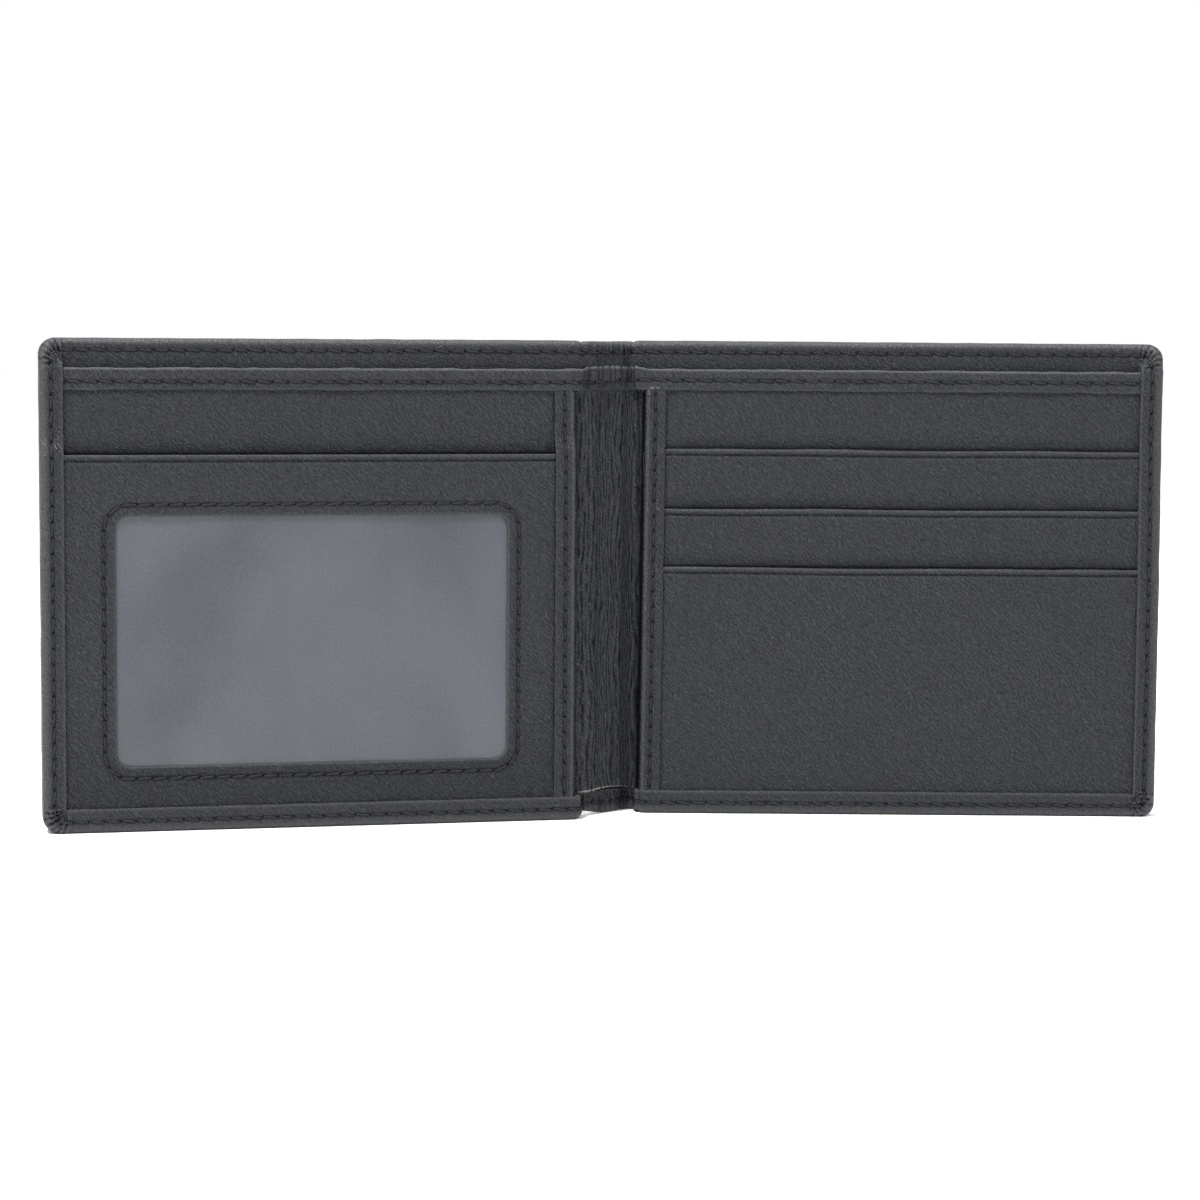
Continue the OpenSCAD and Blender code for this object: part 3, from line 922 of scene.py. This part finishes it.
def new_material(name):
    material = bpy.data.materials.new(name)
    material.use_nodes = True
    tree = material.node_tree
    tree.nodes.clear()
    shader = tree.nodes.new("ShaderNodeBsdfPrincipled")
    output = tree.nodes.new("ShaderNodeOutputMaterial")
    tree.links.new(shader.outputs[0], output.inputs[0])
    return material, tree, shader


def feed(tree, made, inputs):
    """Feeds a node's inputs, by name or number, each with a constant or another node's output."""
    for key, value in inputs.items():
        if isinstance(value, bpy.types.NodeSocket):
            tree.links.new(value, made.inputs[key])
        else:
            made.inputs[key].default_value = value


def node(tree, kind, inputs=None, **settings):
    """A new node with its settings and what feeds its inputs."""
    made = tree.nodes.new(kind)
    for key, value in settings.items():
        setattr(made, key, value)
    feed(tree, made, inputs or {})
    return made


def combined(tree, operation, a, b):
    return node(tree, "ShaderNodeMath", {0: a, 1: b}, operation=operation).outputs[0]


def mapped(tree, source, scale, turn=(0, 0, 0)):
    inputs = {"Vector": source, "Scale": scale, "Rotation": turn}
    return node(tree, "ShaderNodeMapping", inputs).outputs[0]


def noise_of(tree, vector, scale, detail=2.0, rough=0.5, distortion=0.0):
    return node(tree, "ShaderNodeTexNoise", {
        "Vector": vector, "Scale": scale, "Detail": detail, "Roughness": rough,
        "Distortion": distortion}).outputs[0]


def bands(tree, vector, direction, inputs):
    """A wave texture's bands across a direction."""
    return node(tree, "ShaderNodeTexWave", {"Vector": vector, **inputs}, wave_type="BANDS",
                bands_direction=direction).outputs["Fac"]


def ramp(tree, value, low, high, dark, light):
    return node(tree, "ShaderNodeMapRange", {
        "Value": value, "From Min": low, "From Max": high, "To Min": dark,
        "To Max": light}).outputs[0]


def mixed(tree, share, a, b):
    """Colour a, going over to colour b by share."""
    a, b = ((*colour, 1) if isinstance(colour, tuple) else colour for colour in (a, b))
    return node(tree, "ShaderNodeMix", {"Factor": share, 6: a, 7: b}, data_type="RGBA").outputs[2]


def times(colour, factor):
    return tuple(c * factor for c in colour)


def flat_place(tree):
    """The leather's own coordinates, in millimetres, which Shape.object stores in each mesh."""
    return node(tree, "ShaderNodeAttribute", attribute_name="flat").outputs["Vector"]


def object_place(tree):
    """A CAD node's coordinates, in millimetres."""
    return mapped(tree, node(tree, "ShaderNodeTexCoord").outputs["Object"], (1 / MM,) * 3)


def bump(tree, height, depth):
    """Normals for a relief with a depth in millimetres."""
    return node(tree, "ShaderNodeBump", {"Distance": depth * MM, "Height": height}).outputs[0]


def leather_material(name, base, highlight_and_wear, grain=0.66, depth=0.12, rough=0.46, streak=1.0):
    """Black pebbled leather: slanting grain cells with painted shade in the dark lines between,
    lighter where painted highlight and edge wear are marked.
    """
    material, tree, shader = new_material(name)
    place = flat_place(tree)
    wobble = node(tree, "ShaderNodeTexNoise", {"Vector": place, "Scale": 0.8}).outputs["Color"]
    spread = node(tree, "ShaderNodeVectorMath", {0: wobble, "Scale": 0.8}, operation="SCALE")
    bent = node(tree, "ShaderNodeVectorMath", {0: place, 1: spread.outputs[0]}, operation="ADD")
    slanted = mapped(tree, bent.outputs[0], (1, 1, 1), (0, 0, math.radians(GRAIN_SLANT)))
    stretched = mapped(tree, slanted, (0.66, 1.2, 1.0))

    cells = node(tree, "ShaderNodeTexVoronoi", {"Vector": stretched, "Scale": 1 / grain},
                 feature="DISTANCE_TO_EDGE")
    pebble = ramp(tree, cells.outputs["Distance"], 0.0, 0.22, 0.0, 1.0)
    folds = bands(tree, slanted, "Y", {"Scale": 0.314 / FOLD_SPACING, "Distortion": 9.0,
                                       "Detail": 1.0, "Detail Scale": 1.6})
    fine = noise_of(tree, stretched, 2.6, 1.0, 0.6)
    broad = noise_of(tree, place, 0.06, 2.0, 0.5)

    relief = combined(tree, "MULTIPLY", pebble, 0.45)
    relief = combined(tree, "ADD", relief, combined(tree, "MULTIPLY", fine, 0.3))
    relief = combined(tree, "ADD", relief, combined(tree, "MULTIPLY", folds, 0.55 * streak))

    # Painted shade in the grain's hollows and painted highlight on its tops: the colour follows the
    # relief.
    shade = ramp(tree, relief, 0.15, 0.65 + 0.5 * streak, 0.0, 1.0)
    colour = mixed(tree, shade, times(base, 0.02), times(base, 1.95))
    colour = mixed(tree, ramp(tree, broad, 0.35, 0.65, 0.0, 0.22), colour, times(base, 0.7))
    wear = node(tree, "ShaderNodeAttribute", attribute_name="wear").outputs["Fac"]
    # Painted highlight and edge wear where the attribute is positive, broken into patches.
    patchy = ramp(tree, fine, 0.3, 0.7, 0.5, 1.0)
    highlight_and_scuff = combined(tree, "MULTIPLY", ramp(tree, wear, 0.0, 1.0, 0.0, 1.0), patchy)
    colour = mixed(tree, highlight_and_scuff, colour, highlight_and_wear)
    colour = mixed(tree, ramp(tree, wear, 1.0, 2.0, 0.0, 1.0), colour, RAW_EDGE)
    # Painted shade where the attribute is negative, in seams, creases, pocket mouths and gaps; the
    # Specular IOR Level is turned down there as well.
    colour = mixed(tree, ramp(tree, wear, -1.0, 0.0, 0.92, 0.0), colour, DEEP_SHADE)
    feed(tree, shader, {
        "Base Color": colour,
        "Normal": bump(tree, relief, depth),
        "Roughness": ramp(tree, relief, 0.2, 1.2, rough + 0.2, rough - 0.08),
        "Specular IOR Level": ramp(tree, wear, -1.0, 0.0, 0.03, 0.26),
        "IOR": 1.5})
    return material


def woven_material(name, base, pitch=0.35, rough=0.85):
    """Plain woven cloth, for linings."""
    material, tree, shader = new_material(name)
    place = object_place(tree)
    across, up = (bands(tree, place, axis, {"Scale": 0.31 / pitch, "Distortion": 0.6})
                  for axis in ("X", "Z"))
    weave = combined(tree, "MULTIPLY", across, up)
    feed(tree, shader, {
        "Base Color": mixed(tree, weave, times(base, 0.6), times(base, 1.3)),
        "Normal": bump(tree, weave, 0.05), "Roughness": rough, "Sheen Weight": 0.2})
    return material


def board_material():
    """Fibrous grey-brown board, for the stiffeners."""
    material, tree, shader = new_material("board")
    fibre = noise_of(tree, mapped(tree, object_place(tree), (0.4, 1, 3)), 1.6, 4.0, 0.7)
    feed(tree, shader, {
        "Base Color": mixed(tree, fibre, (0.30, 0.26, 0.20), (0.45, 0.40, 0.32)),
        "Normal": bump(tree, fibre, 0.04), "Roughness": 0.9})
    return material


def film_material():
    """Clear soft plastic over the dark pocket behind it, with lighter cloudy patches: partly haze from
    use, partly painted reflection.
    """
    material, tree, shader = new_material("film")
    place = flat_place(tree)
    broad_cloud = noise_of(tree, mapped(tree, place, (1.1, 0.8, 1)), 0.03, 3.0, 0.5, 0.4)
    speck = noise_of(tree, place, 2.0, 2.0, 0.6)
    cloud = combined(tree, "ADD", broad_cloud, combined(tree, "MULTIPLY", speck, 0.55))
    # Lighter cloudy patches: partly haze, partly painted reflection.
    haze_and_reflection = ramp(tree, cloud, 0.55, 1.0, 0.0, 1.0)
    feed(tree, shader, {
        "Base Color": mixed(tree, haze_and_reflection, (0.034, 0.038, 0.0455), (0.060, 0.065, 0.074)),
        "Normal": bump(tree, speck, 0.006),
        "Roughness": ramp(tree, speck, 0.3, 0.7, 0.42, 0.34),
        "IOR": 1.5, "Specular IOR Level": 0.35, "Alpha": 0.93})
    return material


def thread_material():
    """Black sewing thread with its twist."""
    material, tree, shader = new_material("thread")
    twist = bands(tree, flat_place(tree), "DIAGONAL", {"Scale": 1.5})
    feed(tree, shader, {
        "Base Color": mixed(tree, twist, (0.003, 0.003, 0.003), (0.012, 0.012, 0.013)),
        "Normal": bump(tree, twist, 0.06), "Roughness": 0.6, "Specular IOR Level": 0.3})
    return material


LEATHER = leather_material("leather", (0.0083, 0.0090, 0.0121), (0.048, 0.048, 0.050))
DARK_LEATHER = leather_material(
    "leather_divider", (0.0106, 0.0114, 0.0150), (0.065, 0.065, 0.069), grain=0.6, streak=0.6)
LINING = woven_material("lining", (0.018, 0.018, 0.021))
BOARD = board_material()
FILM = film_material()
THREAD = thread_material()


# ---- the wallet
for half in (LEFT, RIGHT):
    outline = cover(half)
    divider(half)
    base_panel(half)
    binding(half)
    cover_stitches(half, outline)
    hem_stitches(half)
    binding_stitches(half)

for k, (top, level) in enumerate(zip(SLOT_TOPS, SLOT_LEVELS)):
    flap(RIGHT, f"slot_leather_{k + 1}", f"card_slot_{k + 1}", 2.0, top, level, 100 + 10 * k,
         SLOT_TOPS[k + 1:k + 2])
window_stitches(LEFT, *window_frame(LEFT))
window_film(LEFT)

for name, cad in frame["nodes"].items():
    if cad.hide_render:
        continue
    material = BOARD if "stiffener" in name else LINING
    cad.data.materials.clear()
    cad.data.materials.append(material)


# ---- floor, light and camera
CAMERA_PLACE = (-2.15, -596.6, 98.25)
CAMERA_PITCH = 5.275        # degrees that it looks down
CAMERA_ROLL = 0.442         # degrees that it is turned on its side
CAMERA_LENS = 93.96
AIM = (0, 0, 0.05)          # what the lamps point at, in metres


def stage_sheet(name, size, colour):
    mesh = bpy.data.meshes.new(name)
    mesh.from_pydata([(-size, -size, 0), (size, -size, 0), (size, size, 0), (-size, size, 0)],
                     [], [(0, 1, 2, 3)])
    sheet = bpy.data.objects.new(name, mesh)
    bpy.context.scene.collection.objects.link(sheet)
    material, _, shader = new_material(name)
    shader.inputs["Base Color"].default_value = (*colour, 1)
    shader.inputs["Roughness"].default_value = 0.9
    shader.inputs["Specular IOR Level"].default_value = 0.1
    mesh.materials.append(material)


def area_light(name, place, aim, size, watts):
    light = bpy.data.lights.new(name, "AREA")
    light.shape = "RECTANGLE"
    light.size, light.size_y = size
    light.energy = watts
    lamp = bpy.data.objects.new(name, light)
    lamp.location = place
    lamp.rotation_euler = (Vector(aim) - Vector(place)).to_track_quat("-Z", "Y").to_euler()
    bpy.context.scene.collection.objects.link(lamp)


stage_sheet("floor", 4.0, (0.99, 0.99, 0.99))
area_light("key", (-0.30, -0.45, 0.90), AIM, (0.30, 0.20), 17.0)
area_light("fill", (0.9, -0.7, 0.5), AIM, (0.6, 0.6), 2.0)
area_light("top", (0.0, 0.15, 1.0), AIM, (0.8, 0.4), 6.0)

world = bpy.data.worlds.new("studio")
world.use_nodes = True
world.node_tree.nodes["Background"].inputs[0].default_value = (1, 1, 1, 1)
world.node_tree.nodes["Background"].inputs[1].default_value = 1.0
bpy.context.scene.world = world
bpy.context.scene.view_settings.view_transform = "Standard"

camera_data = bpy.data.cameras.new("camera")
camera = bpy.data.objects.new("camera", camera_data)
bpy.context.scene.collection.objects.link(camera)
bpy.context.scene.camera = camera
camera_data.sensor_width = 36.0
camera_data.lens = CAMERA_LENS
camera_data.clip_end = 20.0
pitch, roll = math.radians(CAMERA_PITCH), math.radians(CAMERA_ROLL)
ahead = Vector((0, math.cos(pitch), -math.sin(pitch)))
right = Vector((1, 0, 0))
up = right.cross(ahead)
tilted_right = right * math.cos(roll) + up * math.sin(roll)
tilted_up = up * math.cos(roll) - right * math.sin(roll)
turn = Matrix((tilted_right, tilted_up, -ahead)).transposed()
camera.matrix_world = Matrix.Translation(Vector(CAMERA_PLACE) * MM) @ turn.to_4x4()

bpy.context.view_layer.update()
